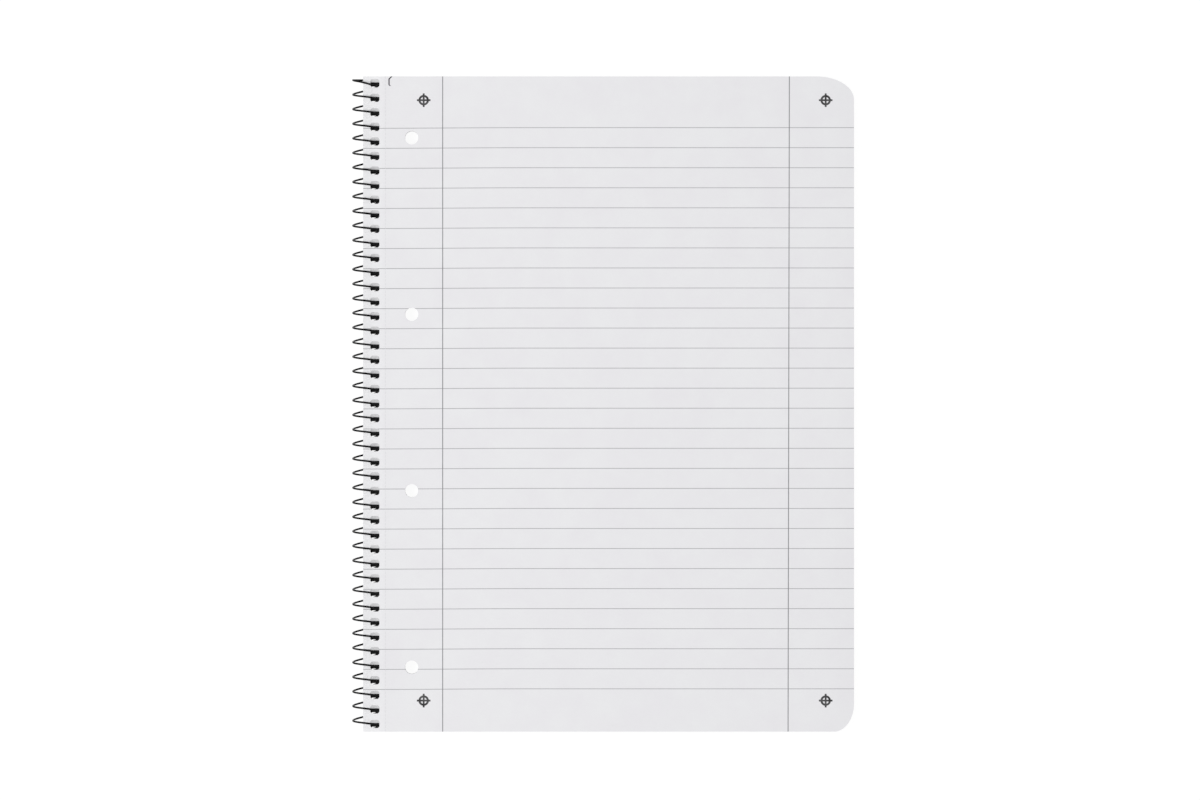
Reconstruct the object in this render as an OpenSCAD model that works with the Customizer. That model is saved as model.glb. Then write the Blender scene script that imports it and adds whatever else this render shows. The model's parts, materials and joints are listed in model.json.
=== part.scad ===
// Wire-bound notebook, lying open at a ruled page with both covers folded behind.
// Origin: centre of the footprint, on the surface it lies on. X runs across the
// sheets, Y along the wire and Z up.

/* [Sheets] */
// Height of the sheets, along the wire
sheet_h = 297; // [260:1:330]
// Width of the sheets, across the wire
sheet_w = 222.5; // [180:0.1:260]
// Thickness of the pressed block of sheets
block_t = 5.2; // [3:0.1:6]
// How far the upper free corner is rounded across the sheet
head_corner_w = 17; // [2:0.5:25]
// How far the upper free corner is rounded down the sheet
head_corner_h = 10.5; // [2:0.5:25]
// How far the lower free corner is rounded across the sheet
foot_corner_w = 9; // [2:0.5:25]
// How far the lower free corner is rounded up the sheet
foot_corner_h = 12.7; // [2:0.5:25]

/* [Binding holes] */
// Distance from one binding hole to the next
pitch = 6.6; // [6:0.1:9]
// Least distance from the end hole's centre to the sheet's edge, before the shift
end_margin = 3.2; // [3:0.1:8]
// How far the row of binding holes lies below the middle of the sheet's height
hole_shift = 0.3; // [0:0.1:1]
// Height of a binding hole, along the wire
hole_h = 3.3; // [3.2:0.1:4.5]
// How much the round that cuts a hole's corners exceeds its longer side
corner_excess = 0.7; // [0.5:0.05:1.5]
// Clearance between the coil and the outer sides of the holes
outer_gap = 0.14; // [0.1:0.02:0.6]
// Clearance between the coil and the inner sides of the holes, in the outer cover
inner_gap = 1.25; // [0.2:0.05:1.6]
// Clearance between the wire and the lower end of a hole in the lowest sheet
rest_gap = 0.08; // [0.06:0.01:0.3]

/* [Filing holes] */
// Diameter of a filing hole
file_d = 6; // [5:0.5:8]
// Distance from one filing hole to the next
file_step = 80; // [60:1:85]
// Number of filing holes
file_count = 4; // [2:2:4]
// How far the row of filing holes lies above the middle of the sheet's height
file_shift = 0.7; // [0:0.1:2]
// Distance from the sheets' left edge to the centres of the filing holes
file_margin = 22; // [18:0.5:40]

/* [Covers] */
// Thickness of each cover
cover_t = 0.4; // [0.3:0.05:0.6]
// How much of a cover shows inside the left side of a binding hole
cover_show = 0.4; // [0:0.05:0.6]
// Gap over which a cover's edge clears the layer inside it while it swings
swing_gap = 0.12; // [0.06:0.01:0.3]
// Clearance between the wire and the upper end of a cover's slot, folded behind
slot_gap = 0.15; // [0.1:0.01:0.4]
// Clearance between the wire and the lower end of a cover's slot, laid open
slot_spare = 0.45; // [0.1:0.05:0.8]
// Angle through which a cover swings, from folded behind to laid open
swing = 180; // [90:5:180]

/* [Wire] */
// Diameter of the coated wire
wire_d = 0.85; // [0.6:0.05:1.1]
// Room between the outer cover and the inside of the coil
coil_room = 1.25; // [0.6:0.05:3]
// How far the sheets reach past the coil's axis
overhang = 1.1; // [0:0.05:2]
// Share by which the wire runs steeper in the block than outside it
steepness = 0.19; // [0:0.01:0.4]
// Share of the pitch by which each loop leans down the page
lean = 0.12; // [0:0.005:0.15]
// Share of its climb through the sheets that the end loop makes only above them
end_pull = 0.9; // [0:0.05:1]
// Angle past the last hole at which the end loop has its usual place again
end_risen = 135; // [90:5:135]
// Angle past the last hole at which the wire's upper end is cut
upper_end = 285; // [200:5:290]
// Angle before the first hole at which the wire's lower end is cut
lower_end = 78; // [60:2:85]

/* [Hidden] */

// Facets of the wire: sides of its section, and rings in each loop
wire_sides = 8;
loop_rings = 16;
// Segments in each rounded corner of the sheets, and facets of a full circle
corner_steps = 10;
circle_steps = 64;

loops = floor((sheet_h - 2 * end_margin) / pitch) + 1;
first_hole = -(loops - 1) * pitch / 2 - hole_shift;

// Depths of the layers below the coil's axis. A layer that overhangs the axis
// sweeps the circle through its edge when it swings.
block_low = block_t / 2;
back_in = norm([overhang, block_low]) + swing_gap;
back_out = back_in + cover_t;
front_in = norm([overhang, back_out]) + swing_gap;
front_out = front_in + cover_t;

// The coil goes round the outer cover, and the holes are as wide as it needs there
bore_r = front_out + coil_room;
coil_r = bore_r + wire_d / 2;
rim_r = bore_r + wire_d;
hole_right = rim_r + outer_gap;
hole_left = sqrt(bore_r ^ 2 - front_out ^ 2) - inner_gap;
hole_x = (hole_left + hole_right) / 2;
hole_w = hole_right - hole_left;

// The origin is midway between the coil's left side and the sheets' right edge
edge_x = -overhang;
axis_x = (rim_r - edge_x - sheet_w) / 2;
axis_z = rim_r;
file_x = edge_x + file_margin;

// Height along the wire at angle a, which is 0 in the block, 90 on top of the
// coil and 180 at its left side, and grows by 360 from one hole to the next
function loop_y(a) =
    pitch * (a / 360 + steepness * sin(a) / (2 * PI) - lean * (1 - cos(a)) / 2);

// Angle at which the wire passes through a layer that lies that deep
function pass_angle(depth) = -asin(depth / coil_r);

// The wire hangs low in the sheets' holes, by this much in the middle of the block
wire_drop = hole_h / 2 + loop_y(pass_angle(block_low)) - wire_d / 2 - rest_gap;

// The end loop lies low in its hole, rises above the sheets and is level past the
// coil's left side
inside = -pass_angle(block_low);
end_sag = end_pull * (loop_y(inside) - loop_y(-inside));
last_turn = 360 * (loops - 1);
function ease(s) = s <= 0 ? 0 : s >= 1 ? 1 : s * s * (3 - 2 * s);
function wire_y(a) =
    let (past = a - last_turn)
    let (sag = ease((past + inside) / (2 * inside)) * ease((end_risen - past) / (end_risen - inside)))
    first_hole - wire_drop + loop_y(min(a, last_turn + 180)) - end_sag * sag;

function wire_point(a) = [coil_r * cos(a), wire_y(a), coil_r * sin(a)];

// One point of the ring round the wire at angle a, b degrees round its section
function ring_point(a, b) =
    let (ahead = wire_point(a + 0.5) - wire_point(a - 0.5))
    let (out = [cos(a), 0, sin(a)])
    let (side = cross(ahead / norm(ahead), out))
    let (section_r = wire_d / 2 / cos(180 / wire_sides))
    wire_point(a) + section_r * (cos(b) * out + sin(b) * side);

module sheet_outline() {
    right = edge_x + sheet_w;
    head = sheet_h / 2;
    function corner(w, h, from) = [
        for (k = [0 : corner_steps])
            let (a = from + 90 * k / corner_steps)
            [w * cos(a), h * sin(a)]
    ];
    polygon(concat(
        [[edge_x, head], [edge_x, -head]],
        [for (p = corner(foot_corner_w, foot_corner_h, -90))
            p + [right - foot_corner_w, foot_corner_h - head]],
        [for (p = corner(head_corner_w, head_corner_h, 0))
            p + [right - head_corner_w, head - head_corner_h]]
    ));
}

module filing_holes() {
    for (k = [0 : file_count - 1])
        translate([file_x, file_shift + (k - (file_count - 1) / 2) * file_step])
            circle(d = file_d, $fn = circle_steps);
}

module binding_hole(w, h) {
    intersection() {
        square([w, h], center = true);
        circle(d = max(w, h) + corner_excess, $fn = circle_steps);
    }
}

module page_block() {
    color([0.91, 0.91, 0.92])
        translate([axis_x, 0, axis_z - block_low])
            linear_extrude(block_t)
                difference() {
                    sheet_outline();
                    filing_holes();
                    for (k = [0 : loops - 1])
                        translate([hole_x, first_hole + k * pitch])
                            binding_hole(hole_w, hole_h);
                }
}

// A cover stays on the same free loops all the way round, so its slots are long
// enough for the wire at both ends of the swing. Each one lies half a loop below
// a binding hole, and the rows run out through the upper and lower edges.
module cover(inner, outer) {
    upper = loop_y(pass_angle(inner));
    lower = loop_y(pass_angle(outer) - swing);
    slot_h = upper - lower + wire_d + slot_gap + slot_spare;
    slot_y = first_hole - wire_drop + (upper + lower + slot_gap - slot_spare) / 2;
    translate([axis_x, 0, axis_z - outer])
        linear_extrude(outer - inner)
            difference() {
                sheet_outline();
                filing_holes();
                for (k = [0 : loops])
                    translate([hole_x + cover_show / 2, slot_y + k * pitch])
                        binding_hole(hole_w - cover_show, slot_h);
            }
}

module back_cover() {
    color([0.09, 0.09, 0.1]) cover(back_in, back_out);
}

module front_cover() {
    color([0.13, 0.13, 0.14]) cover(front_in, front_out);
}

module wire_coil() {
    turn_angle = last_turn + upper_end + lower_end;
    segments = ceil(turn_angle / 360 * loop_rings);
    rings = [
        for (k = [0 : segments])
            let (a = -lower_end + turn_angle * k / segments)
            for (s = [0 : wire_sides - 1]) ring_point(a, (s + 0.5) * 360 / wire_sides)
    ];
    sides = [
        for (k = [0 : segments - 1], s = [0 : wire_sides - 1])
            let (next = (s + 1) % wire_sides)
            let (low = k * wire_sides)
            let (high = low + wire_sides)
            each [[low + s, high + s, low + next], [low + next, high + s, high + next]]
    ];
    caps = [
        [for (s = [0 : wire_sides - 1]) s],
        [for (s = [wire_sides - 1 : -1 : 0]) segments * wire_sides + s]
    ];
    color([0.06, 0.06, 0.07])
        translate([axis_x, 0, axis_z])
            polyhedron(rings, concat(sides, caps));
}

page_block();
back_cover();
front_cover();
wire_coil();
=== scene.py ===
import json
import math
import random

import bmesh
import bpy
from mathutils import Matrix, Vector
from mathutils.geometry import delaunay_2d_cdt


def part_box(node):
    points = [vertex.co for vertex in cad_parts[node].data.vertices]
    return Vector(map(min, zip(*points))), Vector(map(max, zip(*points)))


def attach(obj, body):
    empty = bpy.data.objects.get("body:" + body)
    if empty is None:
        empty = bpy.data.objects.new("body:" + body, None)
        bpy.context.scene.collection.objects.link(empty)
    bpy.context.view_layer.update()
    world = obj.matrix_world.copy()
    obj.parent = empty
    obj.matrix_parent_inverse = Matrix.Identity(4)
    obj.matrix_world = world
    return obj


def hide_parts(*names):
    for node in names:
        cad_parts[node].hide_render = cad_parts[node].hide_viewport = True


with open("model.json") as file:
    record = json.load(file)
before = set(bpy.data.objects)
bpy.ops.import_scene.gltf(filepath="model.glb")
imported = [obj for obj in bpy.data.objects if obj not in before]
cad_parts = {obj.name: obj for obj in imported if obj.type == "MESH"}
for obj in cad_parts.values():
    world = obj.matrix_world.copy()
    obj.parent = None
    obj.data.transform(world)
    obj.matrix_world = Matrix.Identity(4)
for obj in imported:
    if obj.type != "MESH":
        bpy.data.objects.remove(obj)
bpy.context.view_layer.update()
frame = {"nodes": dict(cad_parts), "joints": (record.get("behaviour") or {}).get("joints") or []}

scene = bpy.context.scene
mm = 0.001    # the sizes below are in millimetres, the scene is in metres
sharpAngle = math.radians(40)    # faces that meet at more than this show an edge


# small helpers

def hexToLinear(code):
    channels = [int(code[i:i + 2], 16) / 255 for i in (1, 3, 5)]
    return [c / 12.92 if c <= 0.04045 else ((c + 0.055) / 1.055) ** 2.4 for c in channels] + [1.0]


def perMetre(size):    # a texture's scale for a pattern whose real size is given in millimetres
    return 1 / (size * mm)


def addNode(tree, kind, links=(), **settings):
    node = tree.nodes.new(kind)
    for name, value in settings.items():
        setattr(node, name, value)
    for name, source in dict(links).items():
        if isinstance(name, int):
            socket = node.inputs[name]
        else:
            socket = next(s for s in node.inputs if s.name == name and s.enabled)
        if isinstance(source, bpy.types.Node):
            source = next(s for s in source.outputs if s.enabled)
        if isinstance(source, bpy.types.NodeSocket):
            tree.links.new(source, socket)
        else:
            socket.default_value = source
    return node


def startMaterial(name, values):
    material = bpy.data.materials.new(name)
    material.use_nodes = True
    surface = material.node_tree.nodes["Principled BSDF"]
    for socket, value in values.items():
        surface.inputs[socket].default_value = value
    return material, material.node_tree, surface


def meshPiece(name, points, faces, materials):
    mesh = bpy.data.meshes.new(name)
    mesh.from_pydata(points, [], faces)
    mesh.validate()
    for material in materials:
        mesh.materials.append(material)
    piece = bpy.data.objects.new(name, mesh)
    scene.collection.objects.link(piece)
    return piece


def smooth(s):    # 0 to 1 with soft ends
    s = min(max(s, 0), 1)
    return s * s * (3 - 2 * s)


# what the frame gives

blockLow, blockHigh = (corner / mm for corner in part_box("page_block"))
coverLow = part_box("front_cover")[0] / mm
axisX, _, axisZ = (value / mm for value in frame["joints"][0]["pos_m"])
head = blockHigh.y
print(
    "frame loaded: sheets", [round(v, 2) for v in blockHigh - blockLow],
    "coil axis", round(axisX, 2), round(axisZ, 2))


# camera: straight down on the page, from so far that its sides show no depth

shot = {
    "aimIn": 107.36,     # from the sheet's left edge to the middle of the picture
    "aimY": 1.83,
    "distance": 8000,    # from the lens to the page
    "across": 543.9,     # of the page's plane across the picture
    "sensor": 36,
}

cameraData = bpy.data.cameras.new("studioCamera")
cameraData.sensor_width = shot["sensor"]
cameraData.lens = shot["sensor"] * shot["distance"] / shot["across"]
cameraData.clip_end = 3 * shot["distance"] * mm
camera = bpy.data.objects.new("studioCamera", cameraData)
camera.location = Vector((blockLow.x + shot["aimIn"], shot["aimY"], blockHigh.z + shot["distance"])) * mm
scene.collection.objects.link(camera)
scene.camera = camera
print("camera at", round(camera.location.z, 3), "m, lens", round(cameraData.lens, 1))


# the print on a sheet, with its places measured from the sheet's left edge and middle height

ruling = {
    "firstLine": 125.27,     # height of the upper ruled line
    "step": 9.084,
    "lines": 29,
    "pastLines": 2,          # how far the ruled part reaches past its outer lines
    "width": 0.3,
    "dip": 0.3,              # how far the sheet, pulled by the wire, brings the lines down there
    "dipReach": 75,
    "margins": ((36.05, 0), (192.9, 0.002)),     # place at the middle height, and tilt
    "marginWidth": 0.42,
    "fade": 0.07,            # how softly ink ends on the paper
    "perforation": 10.1,
    "cutLength": 1.1,
    "cutStep": 1.7,
    "cutWidth": 0.16,
}

cornerTarget = {    # a plain register ring and cross in each corner
    "middle": (118.55, 1.65),
    "reach": (91.1, 136.07),
    "ring": 1.9,
    "ringWidth": 0.95,
    "arm": 3.1,
    "armWidth": 0.85,
}

tornNick = {    # the head edge is nicked where the first sheet has begun to tear; its slit is painted shade
    "x": 11.75,
    "top": 148.5,
    "pastEdge": 1,           # how far its mask reaches past the head edge
    "bend": 147.3,
    "topShift": 1.2,
    "hook": 144.7,
    "foot": 144.1,
    "footShift": 0.6,
    "width": 0.7,
}


# 1 on a line of that width, 0 beside it
def lineMask(tree, across, centre, width, fade=ruling["fade"]):
    away = addNode(tree, "ShaderNodeMath", {0: across, 1: centre * mm}, operation="SUBTRACT")
    away = addNode(tree, "ShaderNodeMath", {0: away}, operation="ABSOLUTE")
    return addNode(tree, "ShaderNodeMapRange", {
        "Value": away, "From Min": (width / 2 + fade) * mm, "From Max": (width / 2 - fade) * mm,
    }, interpolation_type="SMOOTHSTEP")


def bothMasks(tree, one, other):
    return addNode(tree, "ShaderNodeMath", {0: one, 1: other}, operation="MULTIPLY")


def eitherMask(tree, *masks):
    total = masks[0]
    for mask in masks[1:]:
        total = addNode(tree, "ShaderNodeMath", {0: total, 1: mask}, operation="MAXIMUM")
    return total


# 1 between two places along an axis
def betweenMask(tree, along, low, high):
    return addNode(tree, "ShaderNodeMath", {
        0: along, 1: (low + high) / 2 * mm, 2: (high - low) / 2 * mm,
    }, operation="COMPARE")


def ruledLines(tree, x, y):
    dip = addNode(tree, "ShaderNodeMapRange", {
        "Value": x, "From Min": ruling["dipReach"] * mm, "From Max": 0.0, "To Max": ruling["dip"] * mm,
    }, interpolation_type="SMOOTHSTEP")
    level = addNode(tree, "ShaderNodeMath", {0: y, 1: dip}, operation="ADD")
    below = addNode(tree, "ShaderNodeMath", {0: level, 1: ruling["firstLine"] * mm}, operation="SUBTRACT")
    half = ruling["step"] / 2 * mm
    near = addNode(tree, "ShaderNodeMath", {0: below, 1: -half, 2: half}, operation="WRAP")
    lowest = ruling["firstLine"] - (ruling["lines"] - 1) * ruling["step"]
    page = betweenMask(tree, y, lowest - ruling["pastLines"], ruling["firstLine"] + ruling["pastLines"])
    return bothMasks(tree, lineMask(tree, near, 0, ruling["width"]), page)


def marginLines(tree, x, y):
    lines = []
    for place, tilt in ruling["margins"]:
        upright = addNode(tree, "ShaderNodeMath", {0: y, 1: -tilt, 2: x}, operation="MULTIPLY_ADD")
        lines.append(lineMask(tree, upright, place, ruling["marginWidth"]))
    return eitherMask(tree, *lines)


def perforationCuts(tree, x, y):
    half = ruling["cutStep"] / 2 * mm
    near = addNode(tree, "ShaderNodeMath", {0: y, 1: -half, 2: half}, operation="WRAP")
    cut = lineMask(tree, near, 0, ruling["cutLength"])
    row = lineMask(tree, x, ruling["perforation"], ruling["cutWidth"])
    return bothMasks(tree, cut, row)


# the four targets are one, folded over the middle of the page both ways
def cornerTargets(tree, x, y):
    folded = []
    for along, middle in zip((x, y), cornerTarget["middle"]):
        away = addNode(tree, "ShaderNodeMath", {0: along, 1: middle * mm}, operation="SUBTRACT")
        folded.append(addNode(tree, "ShaderNodeMath", {0: away}, operation="ABSOLUTE"))
    place = addNode(tree, "ShaderNodeCombineXYZ", {"X": folded[0], "Y": folded[1]})
    centre = [reach * mm for reach in cornerTarget["reach"]] + [0]
    radius = addNode(
        tree, "ShaderNodeVectorMath", {0: place, 1: centre}, operation="DISTANCE").outputs["Value"]
    ring = lineMask(tree, radius, cornerTarget["ring"], cornerTarget["ringWidth"])
    arms = eitherMask(tree, *[
        lineMask(tree, along, reach, cornerTarget["armWidth"])
        for along, reach in zip(folded, cornerTarget["reach"])
    ])
    reached = lineMask(tree, radius, 0, 2 * cornerTarget["arm"])
    return eitherMask(tree, ring, bothMasks(tree, arms, reached))


def nickMask(tree, x, y):
    line = x
    for start, end, shift in (("bend", "top", "topShift"), ("hook", "foot", "footShift")):
        moved = addNode(tree, "ShaderNodeMapRange", {
            "Value": y, "From Min": tornNick[start] * mm, "From Max": tornNick[end] * mm,
            "To Max": tornNick[shift] * mm,
        })
        line = addNode(tree, "ShaderNodeMath", {0: line, 1: moved}, operation="SUBTRACT")
    return bothMasks(
        tree, lineMask(tree, line, tornNick["x"], tornNick["width"]),
        betweenMask(tree, y, tornNick["foot"], tornNick["top"] + tornNick["pastEdge"]))


# materials

# Woodfree offset paper, calendered and then printed: matt, nearly white with a cool cast,
# with a faint cloud where the fibres lie thicker.
paperLook = {
    "white": "#E9E9EB",
    "cloudShade": "#E7E6E9",
    "cloudSize": 14,
    "fibreSize": 0.9,        # real fibres are finer and wouldn't show
    "fibreDepth": 0.012,
    "roughness": 0.82,
    "inkCloudSize": 3,
    "inkThin": 0.86,         # share of the ink where it lies thinnest
    "ruleInk": "#A2A2A5",
    "marginInk": "#818185",
    "paintedLightStrip": "#F1F1F3",      # left of the perforation: painted light, lighter paper that offsets the wire's shade there
    "cutShade": "#DADADD",
    "cutDent": -4.0,         # depth of the cuts, against that of the fibres
    # painted shade in the torn nick, darkest above its bend
    "nickShade": "#77747A",
    "darkestNickShade": "#1E1C20",
    "targetInk": "#121113",
}


def offsetPaper():
    material, tree, surface = startMaterial("printedOffsetPaper", {
        "Roughness": paperLook["roughness"], "IOR": 1.5, "Specular IOR Level": 0.3,
    })
    place = addNode(tree, "ShaderNodeTexCoord").outputs["Object"]
    apart = addNode(tree, "ShaderNodeSeparateXYZ", {"Vector": place})
    x = addNode(tree, "ShaderNodeMath", {0: apart.outputs["X"], 1: blockLow.x * mm}, operation="SUBTRACT")
    y = apart.outputs["Y"]

    cloud = addNode(tree, "ShaderNodeTexNoise", {
        "Vector": place, "Scale": perMetre(paperLook["cloudSize"]), "Detail": 5.0, "Roughness": 0.65,
    })
    cloudShare = addNode(tree, "ShaderNodeMapRange", {
        "Value": cloud.outputs["Fac"], "From Min": 0.35, "From Max": 0.65,
    })
    tone = addNode(tree, "ShaderNodeMix", {
        "Factor": cloudShare, "A": hexToLinear(paperLook["white"]), "B": hexToLinear(paperLook["cloudShade"]),
    }, data_type="RGBA")
    # painted light: the paper grows lighter from the perforation to the left edge, offsetting the shade of
    # the wire
    paintedLightStrip = addNode(tree, "ShaderNodeMapRange", {
        "Value": x, "From Min": ruling["perforation"] * mm, "From Max": ruling["perforation"] / 2 * mm,
    })
    tone = addNode(tree, "ShaderNodeMix", {
        "Factor": paintedLightStrip, "A": tone, "B": hexToLinear(paperLook["paintedLightStrip"]),
    }, data_type="RGBA")

    # ink lies a little thicker in some places than in others
    inkCloud = addNode(tree, "ShaderNodeTexNoise", {
        "Vector": place, "Scale": perMetre(paperLook["inkCloudSize"]), "Detail": 2.0,
    })
    inkShare = addNode(tree, "ShaderNodeMapRange", {
        "Value": inkCloud.outputs["Fac"], "From Min": 0.2, "From Max": 0.8,
        "To Min": paperLook["inkThin"], "To Max": 1.0,
    })
    printed = (
        (ruledLines(tree, x, y), "ruleInk"),
        (marginLines(tree, x, y), "marginInk"),
        (cornerTargets(tree, x, y), "targetInk"),
    )
    for mask, ink in printed:
        tone = addNode(tree, "ShaderNodeMix", {
            "Factor": bothMasks(tree, mask, inkShare), "A": tone, "B": hexToLinear(paperLook[ink]),
        }, data_type="RGBA")
    # painted shade: the perforation's cuts and the torn nick are darkened in the paper's colour
    cuts, nick = perforationCuts(tree, x, y), nickMask(tree, x, y)
    aboveBend = betweenMask(tree, y, tornNick["bend"], tornNick["top"] + tornNick["pastEdge"])
    darkestNickShade = bothMasks(tree, nick, aboveBend)
    for mask, shade in ((cuts, "cutShade"), (nick, "nickShade"), (darkestNickShade, "darkestNickShade")):
        tone = addNode(tree, "ShaderNodeMix", {
            "Factor": mask, "A": tone, "B": hexToLinear(paperLook[shade]),
        }, data_type="RGBA")
    tree.links.new(next(s for s in tone.outputs if s.enabled), surface.inputs["Base Color"])

    fibres = addNode(tree, "ShaderNodeTexNoise", {
        "Vector": place, "Scale": perMetre(paperLook["fibreSize"]), "Detail": 4.0, "Roughness": 0.6,
    })
    dents = addNode(tree, "ShaderNodeMath", {
        0: eitherMask(tree, cuts, nick), 1: paperLook["cutDent"], 2: fibres.outputs["Fac"],
    }, operation="MULTIPLY_ADD")
    relief = addNode(tree, "ShaderNodeBump", {
        "Height": dents, "Strength": 0.6, "Distance": paperLook["fibreDepth"] * mm,
    })
    tree.links.new(relief.outputs["Normal"], surface.inputs["Normal"])
    return material


# The guillotined edges of the sheets: a little duller than their faces, each sheet parted from the next by a
# fine line of painted shade, with the streaks that a worn blade leaves across them.
edgeLook = {
    "pale": "#E4E4E5",
    "between": "#B9B9BC",
    "streak": "#D6D6D8",
    "streakWide": 2.4,
    "streakHigh": 14,
    "seamWidth": 0.2,        # of the line between two sheets, as a share of a sheet
    "seamFade": 0.08,
    "roughness": 0.9,
}


def cutPaperEdges():
    material, tree, surface = startMaterial("guillotinedPaperEdges", {
        "Roughness": edgeLook["roughness"], "IOR": 1.5, "Specular IOR Level": 0.2,
    })
    place = addNode(tree, "ShaderNodeTexCoord").outputs["Object"]
    height = addNode(tree, "ShaderNodeSeparateXYZ", {"Vector": place}).outputs["Z"]
    streakSize = (edgeLook["streakWide"], edgeLook["streakWide"], edgeLook["streakHigh"])
    streaks = addNode(tree, "ShaderNodeTexNoise", {
        "Vector": addNode(tree, "ShaderNodeMapping", {
            "Vector": place, "Scale": [perMetre(size) for size in streakSize],
        }),
        "Scale": 1.0, "Detail": 3.0,
    })
    share = addNode(tree, "ShaderNodeMapRange", {
        "Value": streaks.outputs["Fac"], "From Min": 0.42, "From Max": 0.7,
    })
    tone = addNode(tree, "ShaderNodeMix", {
        "Factor": share, "A": hexToLinear(edgeLook["pale"]), "B": hexToLinear(edgeLook["streak"]),
    }, data_type="RGBA")
    thick = stack["sheet"] * mm
    level = addNode(tree, "ShaderNodeMath", {0: height, 1: blockLow.z * mm}, operation="SUBTRACT")
    near = addNode(tree, "ShaderNodeMath", {0: level, 1: -thick / 2, 2: thick / 2}, operation="WRAP")
    seamWidth, seamFade = (stack["sheet"] * edgeLook[part] for part in ("seamWidth", "seamFade"))
    # painted shade: a darker line where two sheets meet
    seam = lineMask(tree, near, 0, seamWidth, seamFade)
    tone = addNode(tree, "ShaderNodeMix", {
        "Factor": seam, "A": tone, "B": hexToLinear(edgeLook["between"]),
    }, data_type="RGBA")
    tree.links.new(next(s for s in tone.outputs if s.enabled), surface.inputs["Base Color"])
    return material


# Steel wire drawn through black nylon: near black, satin, so that the lamp draws a short
# soft glint on each loop, with faint dull patches where it was wound.
wireLook = {
    "black": "#060607",
    "rubbed": "#0E0E10",
    "patchSize": 3.5,
    "grainSize": 0.25,
    "grainDepth": 0.006,
    "gloss": (0.2, 0.34),
    "specular": 0.05,
}


def nylonCoatedWire():
    material, tree, surface = startMaterial("nylonCoatedSteelWire", {
        "IOR": 1.53, "Specular IOR Level": wireLook["specular"],
    })
    place = addNode(tree, "ShaderNodeTexCoord").outputs["Object"]
    patches = addNode(tree, "ShaderNodeTexNoise", {
        "Vector": place, "Scale": perMetre(wireLook["patchSize"]), "Detail": 3.0,
    })
    low, high = wireLook["gloss"]
    dull = addNode(tree, "ShaderNodeMapRange", {
        "Value": patches.outputs["Fac"], "From Min": 0.35, "From Max": 0.65, "To Min": low, "To Max": high,
    })
    tree.links.new(dull.outputs["Result"], surface.inputs["Roughness"])
    rubbed = addNode(tree, "ShaderNodeMapRange", {
        "Value": patches.outputs["Fac"], "From Min": 0.55, "From Max": 0.75,
    })
    tone = addNode(tree, "ShaderNodeMix", {
        "Factor": rubbed, "A": hexToLinear(wireLook["black"]), "B": hexToLinear(wireLook["rubbed"]),
    }, data_type="RGBA")
    tree.links.new(next(s for s in tone.outputs if s.enabled), surface.inputs["Base Color"])
    grain = addNode(tree, "ShaderNodeTexNoise", {
        "Vector": place, "Scale": perMetre(wireLook["grainSize"]), "Detail": 2.0,
    })
    relief = addNode(tree, "ShaderNodeBump", {
        "Height": grain.outputs["Fac"], "Strength": 0.5, "Distance": wireLook["grainDepth"] * mm,
    })
    tree.links.new(relief.outputs["Normal"], surface.inputs["Normal"])
    return material


# The sheared ends of the wire: bare bright steel, drawn out in fine lines by the cutter.
steelLook = {
    "pale": "#A6A7A9",
    "dark": "#7E7F82",
    "lineSize": (0.05, 0.8, 0.05),
    "gloss": (0.3, 0.5),
}


def shearedSteel():
    material, tree, surface = startMaterial("shearedSteel", {"Metallic": 1.0})
    place = addNode(tree, "ShaderNodeTexCoord").outputs["Object"]
    lines = addNode(tree, "ShaderNodeTexNoise", {
        "Vector": addNode(tree, "ShaderNodeMapping", {
            "Vector": place, "Scale": [perMetre(size) for size in steelLook["lineSize"]],
        }),
        "Scale": 1.0, "Detail": 2.0,
    })
    tone = addNode(tree, "ShaderNodeMix", {
        "Factor": lines.outputs["Fac"],
        "A": hexToLinear(steelLook["pale"]), "B": hexToLinear(steelLook["dark"]),
    }, data_type="RGBA")
    tree.links.new(next(s for s in tone.outputs if s.enabled), surface.inputs["Base Color"])
    low, high = steelLook["gloss"]
    rough = addNode(tree, "ShaderNodeMapRange", {
        "Value": lines.outputs["Fac"], "To Min": low, "To Max": high,
    })
    tree.links.new(rough.outputs["Result"], surface.inputs["Roughness"])
    return material


# Black board, matt laminated and then die cut: deep grey under a soft wide sheen, with a fine
# leather grain pressed into the film and pale rubs along the free edges.
coverLook = {
    "black": "#161618",
    "mottle": "#1B1B1E",
    "rub": "#3A3A3E",
    "grainSize": 0.7,
    "grainDepth": 0.03,
    "mottleSize": 25,
    "scratchSize": 1.6,
    "gloss": (0.36, 0.5),
    "rubReach": 2.2,         # how far from an edge the film is rubbed
}


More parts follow.
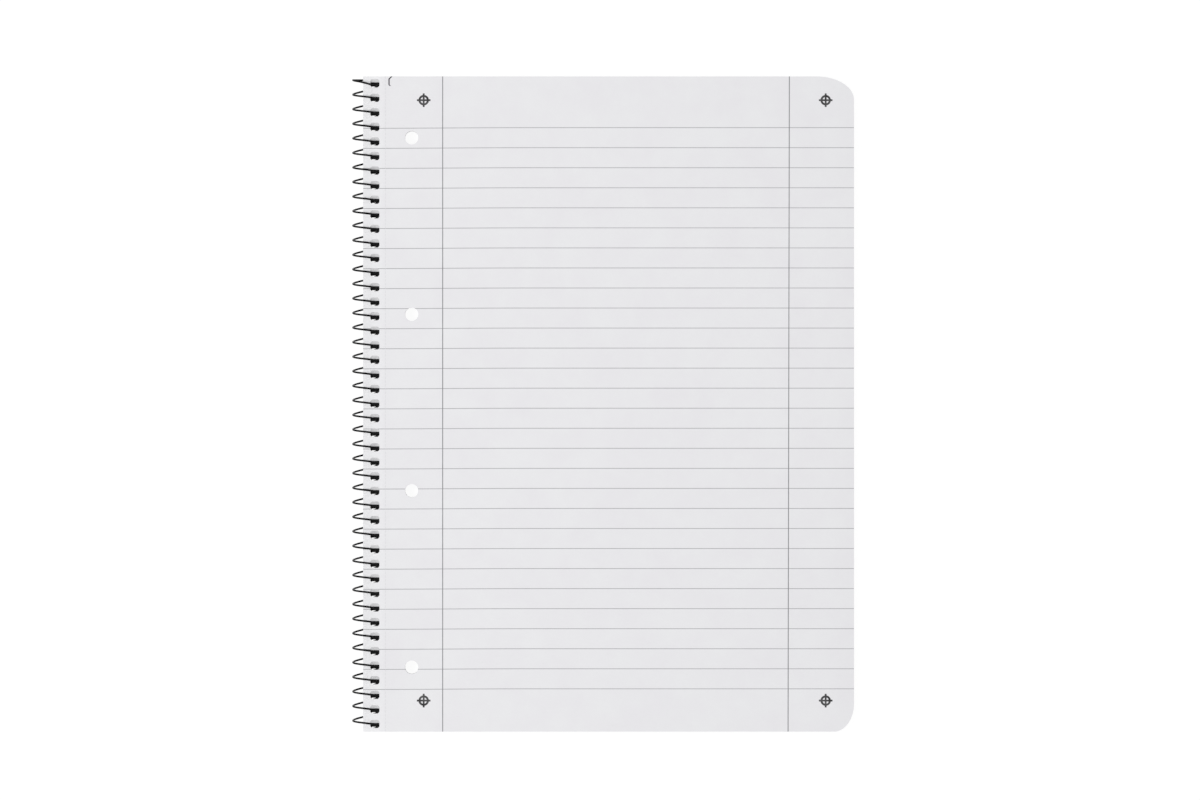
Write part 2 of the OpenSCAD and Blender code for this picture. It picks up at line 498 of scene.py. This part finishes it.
def laminatedBoard():
    material, tree, surface = startMaterial("mattLaminatedBoard", {"IOR": 1.5, "Specular IOR Level": 0.3})
    place = addNode(tree, "ShaderNodeTexCoord").outputs["Object"]
    apart = addNode(tree, "ShaderNodeSeparateXYZ", {"Vector": place})
    mottle = addNode(tree, "ShaderNodeTexNoise", {
        "Vector": place, "Scale": perMetre(coverLook["mottleSize"]), "Detail": 4.0,
    })
    tone = addNode(tree, "ShaderNodeMix", {
        "Factor": mottle.outputs["Fac"],
        "A": hexToLinear(coverLook["black"]), "B": hexToLinear(coverLook["mottle"]),
    }, data_type="RGBA")
    scratches = addNode(tree, "ShaderNodeTexNoise", {
        "Vector": place, "Scale": perMetre(coverLook["scratchSize"]), "Detail": 6.0, "Roughness": 0.7,
    })
    worn = addNode(tree, "ShaderNodeMapRange", {
        "Value": scratches.outputs["Fac"], "From Min": 0.45, "From Max": 0.62,
    })
    middle, half = (blockHigh + blockLow) / 2, (blockHigh - blockLow) / 2
    rims = []
    for axis, centre, reach in (("X", middle.x, half.x), ("Y", middle.y, half.y)):
        away = addNode(tree, "ShaderNodeMath", {0: apart.outputs[axis], 1: centre * mm}, operation="SUBTRACT")
        away = addNode(tree, "ShaderNodeMath", {0: away}, operation="ABSOLUTE")
        rims.append(addNode(tree, "ShaderNodeMapRange", {
            "Value": away, "From Min": (reach - coverLook["rubReach"]) * mm, "From Max": reach * mm,
        }, interpolation_type="SMOOTHSTEP"))
    rubbed = bothMasks(tree, eitherMask(tree, *rims), worn)
    tone = addNode(tree, "ShaderNodeMix", {
        "Factor": rubbed, "A": tone, "B": hexToLinear(coverLook["rub"]),
    }, data_type="RGBA")
    tree.links.new(next(s for s in tone.outputs if s.enabled), surface.inputs["Base Color"])
    low, high = coverLook["gloss"]
    dull = addNode(tree, "ShaderNodeMapRange", {
        "Value": mottle.outputs["Fac"], "From Min": 0.3, "From Max": 0.7, "To Min": low, "To Max": high,
    })
    tree.links.new(dull.outputs["Result"], surface.inputs["Roughness"])
    grain = addNode(tree, "ShaderNodeTexVoronoi", {
        "Vector": place, "Scale": perMetre(coverLook["grainSize"]),
    }, feature="SMOOTH_F1")
    relief = addNode(tree, "ShaderNodeBump", {
        "Height": grain.outputs["Distance"], "Strength": 0.5, "Distance": coverLook["grainDepth"] * mm,
    })
    tree.links.new(relief.outputs["Normal"], surface.inputs["Normal"])
    return material


# outline and holes of a sheet

sheetShape = {
    "headCorner": (17, 10.5),    # how far the free corners are rounded, across and down the sheet
    "footCorner": (9, 12.7),
    "cornerSteps": 18,
    "edgeStep": 6,
    "filingHole": 6,
    "filingSteps": 48,
    "filingStep": 80,
    "filingCount": 4,
    "filingIn": 22,              # from the left edge to the holes' centres
    "filingShift": 0.7,          # of their row above the middle of the sheet's height
    "holeCount": 45,
    "holePitch": 6.6,
    "holeShift": 0.3,            # of their row below the middle of the sheet's height
    "holeHigh": 3.3,             # in the solids, where it sets how low the wire hangs
    "holeSteps": 4,              # in each cut corner of a hole
    "cornerExcess": 0.45,        # of the cutter that takes off the corners, past the hole's longer side
    "topSheetHole": (-1.36, 2.36),    # lower and upper end, from the middle of the solid's hole
    "lowSheetHole": (-1.65, 0.92),
    "outerGap": 0.14,
    "innerGap": 1.25,
    "gridStep": 4.5,
    "gridClear": 1.5,            # of the grid's points from holes and edges
    "cornerClear": (19, 15),     # of the grid's points from the free corners, across and down
}

wire = {
    "diameter": 0.85,
    "steeper": 0.19,
    "lean": 0.12,
    "endPull": 0.9,          # share of its climb that the end loop makes only above the sheets
    "endRisen": 135,         # angle past the last hole at which it has its usual place again
    "upperCut": 285,
    "lowerCut": 78,
    "holeRoom": 0.08,        # below the wire in the lowest sheet's hole
    "bevel": 0.09,           # over which the cutter has rolled the coating in at the ends
    "bevelShare": 0.93,      # of the radius, halfway in
    "tipShare": 0.72,
    "sides": 14,
    "ringsPerLoop": 44,
}

rimR = axisZ
coilR = rimR - wire["diameter"] / 2
boreR = rimR - wire["diameter"]
coverDepth = axisZ - coverLow.z
holeRight = axisX + rimR + sheetShape["outerGap"]
holeLeft = axisX + math.sqrt(boreR ** 2 - coverDepth ** 2) - sheetShape["innerGap"]
holeX, holeWide = (holeLeft + holeRight) / 2, holeRight - holeLeft
firstHole = -(sheetShape["holeCount"] - 1) * sheetShape["holePitch"] / 2 - sheetShape["holeShift"]


# points round the sheet with the outward direction at each, anticlockwise from the lower left
def sheetOutline():
    left, right, foot = blockLow.x, blockHigh.x, -head
    footW, footH = sheetShape["footCorner"]
    headW, headH = sheetShape["headCorner"]
    points = []

    def straight(start, end, outward):
        count = max(1, round((end - start).length / sheetShape["edgeStep"]))
        points.extend((start.lerp(end, k / count), outward) for k in range(count))

    def rounded(centre, wide, high, startAngle):
        for k in range(sheetShape["cornerSteps"]):
            a = math.radians(startAngle + 90 * k / sheetShape["cornerSteps"])
            outward = Vector((math.cos(a) / wide, math.sin(a) / high)).normalized()
            points.append((centre + Vector((wide * math.cos(a), high * math.sin(a))), outward))

    straight(Vector((left, foot)), Vector((right - footW, foot)), Vector((0, -1)))
    rounded(Vector((right - footW, foot + footH)), footW, footH, -90)
    straight(Vector((right, foot + footH)), Vector((right, head - headH)), Vector((1, 0)))
    rounded(Vector((right - headW, head - headH)), headW, headH, 0)
    straight(Vector((right - headW, head)), Vector((left, head)), Vector((0, 1)))
    straight(Vector((left, head)), Vector((left, foot)), Vector((-1, 0)))
    return points


# a punched hole is a rectangle whose corners a round cutter takes off
def bindingHole(k, ends):
    low, high = ends
    halfW, halfH = holeWide / 2, (high - low) / 2
    cutter = (max(holeWide, high - low) + sheetShape["cornerExcess"]) / 2
    start, end = math.acos(halfW / cutter), math.asin(halfH / cutter)
    centre = Vector((holeX, firstHole + k * sheetShape["holePitch"] + (low + high) / 2))
    steps = sheetShape["holeSteps"]
    loop = []
    for quarter in range(4):
        for n in range(steps + 1):
            a = start + (end - start) * n / steps
            if quarter % 2:
                a = math.pi - (start + (end - start) * (steps - n) / steps)
            a += math.pi * (quarter // 2)
            loop.append(centre + cutter * Vector((math.cos(a), math.sin(a))))
    return loop


def filingHole(k):
    fromMiddle = k - (sheetShape["filingCount"] - 1) / 2
    centre = Vector((
        blockLow.x + sheetShape["filingIn"],
        sheetShape["filingShift"] + fromMiddle * sheetShape["filingStep"]))
    radius, steps = sheetShape["filingHole"] / 2, sheetShape["filingSteps"]
    angles = [2 * math.pi * n / steps for n in range(steps)]
    return [centre + radius * Vector((math.cos(a), math.sin(a))) for a in angles]


# a flat sheet as triangles: its points, its triangles and the loops of its edges
def flatSheet(holeEnds):
    outline = [point for point, _ in sheetOutline()]
    loops = [outline] + [bindingHole(k, holeEnds) for k in range(sheetShape["holeCount"])]
    loops += [filingHole(k) for k in range(sheetShape["filingCount"])]
    points, edges, spans = [], [], []
    for loop in loops:
        first = len(points)
        points += loop
        spans.append(range(first, first + len(loop)))
        edges += [(first + n, first + (n + 1) % len(loop)) for n in range(len(loop))]

    filing = [sum(loop, Vector((0, 0))) / len(loop) for loop in loops[-sheetShape["filingCount"]:]]
    step, clear = sheetShape["gridStep"], sheetShape["gridClear"]
    clearAcross, clearDown = sheetShape["cornerClear"]
    filingRadius = sheetShape["filingHole"] / 2
    wide = blockHigh.x - blockLow.x
    columns = int(wide / step)
    rows = int(2 * head / step)
    for i in range(1, columns):
        for j in range(1, rows):
            point = Vector((blockLow.x + i * wide / columns, -head + j * 2 * head / rows))
            atBinding = abs(point.x - holeX) < holeWide / 2 + clear
            atFiling = any((point - centre).length < filingRadius + clear for centre in filing)
            inward = min(blockHigh.x - point.x, head - abs(point.y), point.x - blockLow.x)
            atCorner = point.x > blockHigh.x - clearAcross and abs(point.y) > head - clearDown
            if inward > clear and not (atBinding or atFiling or atCorner):
                points.append(point)

    placed, _, triangles, origins, _, _ = delaunay_2d_cdt(points, edges, [list(spans[0])], 1, 1e-7)
    if len(placed) != len(points):
        raise RuntimeError("the sheet's points were merged: change the grid")
    order = [found[0] for found in origins]

    def inHole(point):
        if any((point - centre).length < filingRadius for centre in filing):
            return True
        if abs(point.x - holeX) > holeWide / 2:
            return False
        low, high = holeEnds
        k = round((point.y - firstHole - (low + high) / 2) / sheetShape["holePitch"])
        if not 0 <= k < sheetShape["holeCount"]:
            return False
        away = point - Vector((holeX, firstHole + k * sheetShape["holePitch"] + (low + high) / 2))
        cutter = (max(holeWide, high - low) + sheetShape["cornerExcess"]) / 2
        return abs(away.y) < (high - low) / 2 and away.length < cutter

    kept = []
    for triangle in triangles:
        corners = [placed[n] for n in triangle]
        if not inHole(sum(corners, Vector((0, 0))) / 3):
            a, b, c = [order[n] for n in triangle]
            turned = (points[b] - points[a]).cross(points[c] - points[a]) > 0
            kept.append((a, b, c) if turned else (a, c, b))
    return points, kept, spans


# the stack of sheets

stack = {
    "sheet": 0.1,            # thickness of one sheet
    "ragged": 0.1,           # how unevenly the sheets' edges lie
    "wobble": 0.02,          # how unevenly one sheet was cut along its edge
    "seam": 0.06,            # depth of the line between two sheets
    "flank": (0.2, 0.8),     # where the flat part of a sheet's edge begins and ends, in its thickness
    "fanned": 0.7,           # how far the lowest sheet lies back at the free edge
    "slipped": 0.6,          # depth of the upper sheets, which have slipped up along the wire
    "seed": 11,
}

firstSheet = {
    "thick": 0.1,
    "gap": 0.02,             # between it and the stack
    "swell": 0.16,           # soft waves in the paper
    "swellLength": 95,
    "swellTurn": (6.28, 4.1),    # radians in that length, across the sheet and along the wire
    "swellStart": (1.1, 0.4),
    "freeDrop": 0.42,        # the free edge hangs by this much
    "freeReach": 7,
}


# how far the open page lies below its highest place
def pageDip(x, y):
    length = firstSheet["swellLength"]
    (turnX, turnY), (startX, startY) = firstSheet["swellTurn"], firstSheet["swellStart"]
    wave = math.sin(x / length * turnX + startX) * math.cos(y / length * turnY + startY)
    free = smooth(1 - (blockHigh.x - x) / firstSheet["freeReach"]) * firstSheet["freeDrop"]
    return 0.5 * firstSheet["swell"] * (1 - wave) + free


def thinEdge(faces, loop, upper, lower, outward):
    count = len(loop)
    for n in range(count):
        a, b = loop[n], loop[(n + 1) % count]
        quad = [upper + a, lower + a, lower + b, upper + b]
        faces.append(quad if outward else quad[::-1])


def makeFirstSheet(flat, material, edges):
    points, triangles, spans = flat
    count = len(points)
    top = [(p.x * mm, p.y * mm, (blockHigh.z - pageDip(p.x, p.y)) * mm) for p in points]
    bottom = [(x, y, z - firstSheet["thick"] * mm) for x, y, z in top]
    faces = [list(t) for t in triangles] + [[n + count for n in reversed(t)] for t in triangles]
    capFaces = len(faces)
    for loop in spans:
        thinEdge(faces, loop, 0, count, True)
    piece = meshPiece("openSheet", top + bottom, faces, [material, edges])
    for polygon in piece.data.polygons:
        polygon.material_index = 0 if polygon.index < capFaces else 1
        polygon.use_smooth = polygon.index < capFaces
    piece.data.set_sharp_from_angle(angle=sharpAngle)
    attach(piece, "sheets")
    return piece


def makeStack(upper, lower, material, edges):
    rng = random.Random(stack["seed"])
    points, triangles, spans = upper
    lowPoints, lowTriangles, _ = lower
    rim = sheetOutline()
    ringSize = len(rim)
    lowZ = blockLow.z
    topGap = firstSheet["thick"] + firstSheet["gap"]
    slippedZ = (blockHigh.z - stack["slipped"]) * mm
    sheets = int((blockHigh.z - lowZ) / stack["sheet"]) - 1
    placed, faces = [], []

    def ringPoint(point, outward, inset, z, share):
        back = stack["fanned"] * (1 - share) * max(0, outward.x)
        p = point - (inset + back) * outward
        return (p.x * mm, p.y * mm, (z - share * (pageDip(p.x, p.y) + topGap)) * mm)

    # the upper face follows the open page and the lower one lies flat; both carry every hole
    for share, z, layer in ((0, lowZ, lowPoints), (1, blockHigh.z, points)):
        for n, p in enumerate(layer):
            if n < ringSize:
                placed.append(ringPoint(p, rim[n][1], stack["ragged"] / 2, z, share))
            else:
                placed.append((p.x * mm, p.y * mm, (z - share * (pageDip(p.x, p.y) + topGap)) * mm))
    count = len(lowPoints)
    faces += [list(reversed(t)) for t in lowTriangles] + [[n + count for n in t] for t in triangles]
    capFaces = len(faces)
    for loop in spans[1:]:
        shift = len(placed) - loop.start
        placed += [(lowPoints[n].x * mm, lowPoints[n].y * mm, slippedZ) for n in loop]
        thinEdge(faces, loop, count, shift, True)
        thinEdge(faces, loop, shift, 0, True)

    # three rings to a sheet: the seam below it, and its lower and upper edge
    previous = 0
    flankLow, flankHigh = stack["flank"]
    for k in range(sheets):
        offset = stack["ragged"] * rng.random()
        for level, extra in ((0, stack["seam"]), (flankLow, 0), (flankHigh, 0)):
            if k == 0 and level == 0:
                continue
            share = (k + level) / sheets
            z = lowZ + (blockHigh.z - lowZ) * share
            start = len(placed)
            for point, outward in rim:
                wobble = stack["wobble"] * rng.random()
                placed.append(ringPoint(point, outward, offset + extra + wobble, z, share))
            thinEdge(faces, range(ringSize), start, previous, True)
            previous = start
    thinEdge(faces, range(ringSize), count, previous, True)

    piece = meshPiece("sheetStack", placed, faces, [material, edges])
    for polygon in piece.data.polygons:
        polygon.material_index = 0 if polygon.index < capFaces else 1
        polygon.use_smooth = polygon.index < capFaces
    piece.data.set_sharp_from_angle(angle=sharpAngle)
    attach(piece, "sheets")
    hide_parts("page_block")
    return piece, sheets


# the wire

lastTurn = 360 * (sheetShape["holeCount"] - 1)


# place along the wire's axis after that many degrees, as the coiling machine lays it
def loopHeight(a):
    return sheetShape["holePitch"] * (
        a / 360 + wire["steeper"] * math.sin(math.radians(a)) / (2 * math.pi)
        - wire["lean"] * (1 - math.cos(math.radians(a))) / 2)


blockDepth = axisZ - blockLow.z
inside = math.degrees(math.asin(blockDepth / coilR))    # angle from the block's middle to its face
wireDrop = sheetShape["holeHigh"] / 2 + loopHeight(-inside) - wire["diameter"] / 2 - wire["holeRoom"]
endSag = wire["endPull"] * (loopHeight(inside) - loopHeight(-inside))


# the end loop lies low in its hole, rises above the sheets and is level past its left side
def wirePoint(a):
    past = a - lastTurn
    sinks = smooth((past + inside) / (2 * inside))
    rises = smooth((wire["endRisen"] - past) / (wire["endRisen"] - inside))
    sag = sinks * rises
    height = firstHole - wireDrop + loopHeight(min(a, lastTurn + 180)) - endSag * sag
    turn = math.radians(a)
    return Vector((axisX + coilR * math.cos(turn), height, axisZ + coilR * math.sin(turn)))


def makeWire(coating, steel):
    span = lastTurn + wire["upperCut"] + wire["lowerCut"]
    rings = math.ceil(span / 360 * wire["ringsPerLoop"])
    sides, radius = wire["sides"], wire["diameter"] / 2
    bevel, bevelShare, tipShare = wire["bevel"], wire["bevelShare"], wire["tipShare"]
    placed, faces = [], []

    def addRing(a, share, shift=0):
        centre = wirePoint(a)
        ahead = (wirePoint(a + 0.5) - wirePoint(a - 0.5)).normalized()
        out = Vector((math.cos(math.radians(a)), 0, math.sin(math.radians(a))))
        side = ahead.cross(out)
        for s in range(sides):
            b = 2 * math.pi * (s + 0.5) / sides
            across = math.cos(b) * out + math.sin(b) * side
            placed.append((centre + ahead * shift + share * radius * across) * mm)

    for k in range(rings + 1):
        a = -wire["lowerCut"] + span * k / rings
        if k == 0:
            addRing(a, tipShare)
            addRing(a, bevelShare, bevel / 2)
            addRing(a, 1, bevel)
        elif k == rings:
            addRing(a, 1, -bevel)
            addRing(a, bevelShare, -bevel / 2)
            addRing(a, tipShare)
        else:
            addRing(a, 1)
    total = len(placed) // sides
    for k in range(total - 1):
        for s in range(sides):
            t = (s + 1) % sides
            faces.append([k * sides + s, (k + 1) * sides + s, (k + 1) * sides + t, k * sides + t])
    sideFaces = len(faces)
    faces.append(list(range(sides)))
    faces.append([(total - 1) * sides + s for s in reversed(range(sides))])

    piece = meshPiece("boundWire", placed, faces, [coating, steel])
    for polygon in piece.data.polygons:
        polygon.use_smooth = polygon.index < sideFaces
        polygon.material_index = 0 if polygon.index < sideFaces else 1
    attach(piece, "sheets")
    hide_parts("wire_coil")
    return piece


# the covers

coverSlot = {
    "raised": 0.3,           # its lower end is cut this much closer to the wire than in the solid
    "margin": 0.1,           # within which a corner of the board counts as a slot's
    "merge": 0.001,
}


# the solid's own board, whose slots come a little closer to the wire
def makeCover(name, material):
    shape = bmesh.new()
    shape.from_mesh(frame["nodes"][name].data)
    bmesh.ops.remove_doubles(shape, verts=shape.verts, dist=coverSlot["merge"] * mm)
    pitch = sheetShape["holePitch"]
    for vertex in shape.verts:
        x, y = vertex.co.x / mm, vertex.co.y / mm
        fromHole = (y - firstHole + pitch / 2) % pitch - pitch / 2
        margin = coverSlot["margin"]
        atSlots = abs(x - holeX) < holeWide / 2 + margin and abs(y) < head - margin
        if atSlots and 0 < fromHole < pitch / 4:
            vertex.co.y += coverSlot["raised"] * mm
    mesh = bpy.data.meshes.new(name + "Board")
    shape.to_mesh(mesh)
    shape.free()
    mesh.materials.clear()
    mesh.materials.append(material)
    piece = bpy.data.objects.new(name + "Board", mesh)
    scene.collection.objects.link(piece)
    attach(piece, name)
    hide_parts(name)
    return piece


# making the notebook

paper, paperEdges = offsetPaper(), cutPaperEdges()
topSheet, lowSheet = flatSheet(sheetShape["topSheetHole"]), flatSheet(sheetShape["lowSheetHole"])
print("flat sheet:", len(topSheet[0]), "points,", len(topSheet[1]), "triangles")

openSheet = makeFirstSheet(topSheet, paper, paperEdges)
print("open sheet:", len(openSheet.data.polygons), "faces")
sheetStack, sheetCount = makeStack(topSheet, lowSheet, paper, paperEdges)
print("sheets in the stack:", sheetCount, "faces", len(sheetStack.data.polygons))

boundWire = makeWire(nylonCoatedWire(), shearedSteel())
print("wire:", len(boundWire.data.polygons), "faces")

board = laminatedBoard()
covers = [makeCover(name, board) for name in ("back_cover", "front_cover")]
print("covers:", [len(cover.data.polygons) for cover in covers], "faces")


# floor, light and background

studio = {
    "skyLevel": 0.7,
    "lampLevel": 0.3,        # of the light on the page
    "lampTilt": 24,          # degrees left of straight above the wire
    "lampDistance": 2000,
    "lampSize": 420,
    "floorReach": 4000,
    "floorCard": "#E6E6E6",
    "floorShare": 0.1,       # how much of the shadow the floor shows to the camera
    "floorGlow": 0.95,
}


# what the camera, mirrors and glass see
def seenMask(tree):
    ray = addNode(tree, "ShaderNodeLightPath")
    kinds = ("Is Camera Ray", "Is Glossy Ray", "Is Transmission Ray")
    return eitherMask(tree, *[ray.outputs[kind] for kind in kinds])


# A sheet of matt white studio card: it shows white with the object's soft shadow.
def studioCard():
    material = bpy.data.materials.new("mattStudioCard")
    material.use_nodes = True
    tree = material.node_tree
    tree.nodes.clear()
    plain = addNode(tree, "ShaderNodeBsdfDiffuse", {"Color": hexToLinear(studio["floorCard"])})
    shadowed = addNode(tree, "ShaderNodeBsdfDiffuse", {"Color": [studio["floorShare"]] * 3 + [1]})
    glow = addNode(tree, "ShaderNodeEmission", {"Strength": studio["floorGlow"]})
    shown = addNode(tree, "ShaderNodeAddShader", {0: shadowed, 1: glow})
    mixed = addNode(tree, "ShaderNodeMixShader", {0: seenMask(tree), 1: plain, 2: shown})
    addNode(tree, "ShaderNodeOutputMaterial", {"Surface": mixed})
    return material


reach = studio["floorReach"] * mm
floorCorners = [(-reach, -reach, 0), (reach, -reach, 0), (reach, reach, 0), (-reach, reach, 0)]
floor = meshPiece("studioFloor", floorCorners, [(0, 1, 2, 3)], [studioCard()])

world = bpy.data.worlds.new("softStudio")
world.use_nodes = True
tree = world.node_tree
background = tree.nodes["Background"]
background.inputs["Color"].default_value = (1, 1, 1, 1)
level = addNode(tree, "ShaderNodeMath", {
    0: seenMask(tree), 1: 1 - studio["skyLevel"], 2: studio["skyLevel"],
}, operation="MULTIPLY_ADD")
tree.links.new(level.outputs[0], background.inputs["Strength"])
scene.world = world

away = studio["lampDistance"] * mm
tilt = math.radians(studio["lampTilt"])
lampData = bpy.data.lights.new("windowBox", "AREA")
lampData.shape = "SQUARE"
lampData.size = studio["lampSize"] * mm
lamp = bpy.data.objects.new("windowBox", lampData)
lamp.location = (axisX * mm - away * math.sin(tilt), 0, away * math.cos(tilt))
toPage = Vector((0, 0, blockHigh.z * mm)) - lamp.location
lamp.rotation_euler = toPage.to_track_quat("-Z", "Y").to_euler()
lampData.energy = studio["lampLevel"] * math.pi ** 2 * toPage.length ** 3 / lamp.location.z
lamp.visible_camera = False
scene.collection.objects.link(lamp)

scene.view_settings.view_transform = "Standard"
print("floor, light and background in place, lamp", round(lampData.energy, 1), "W")
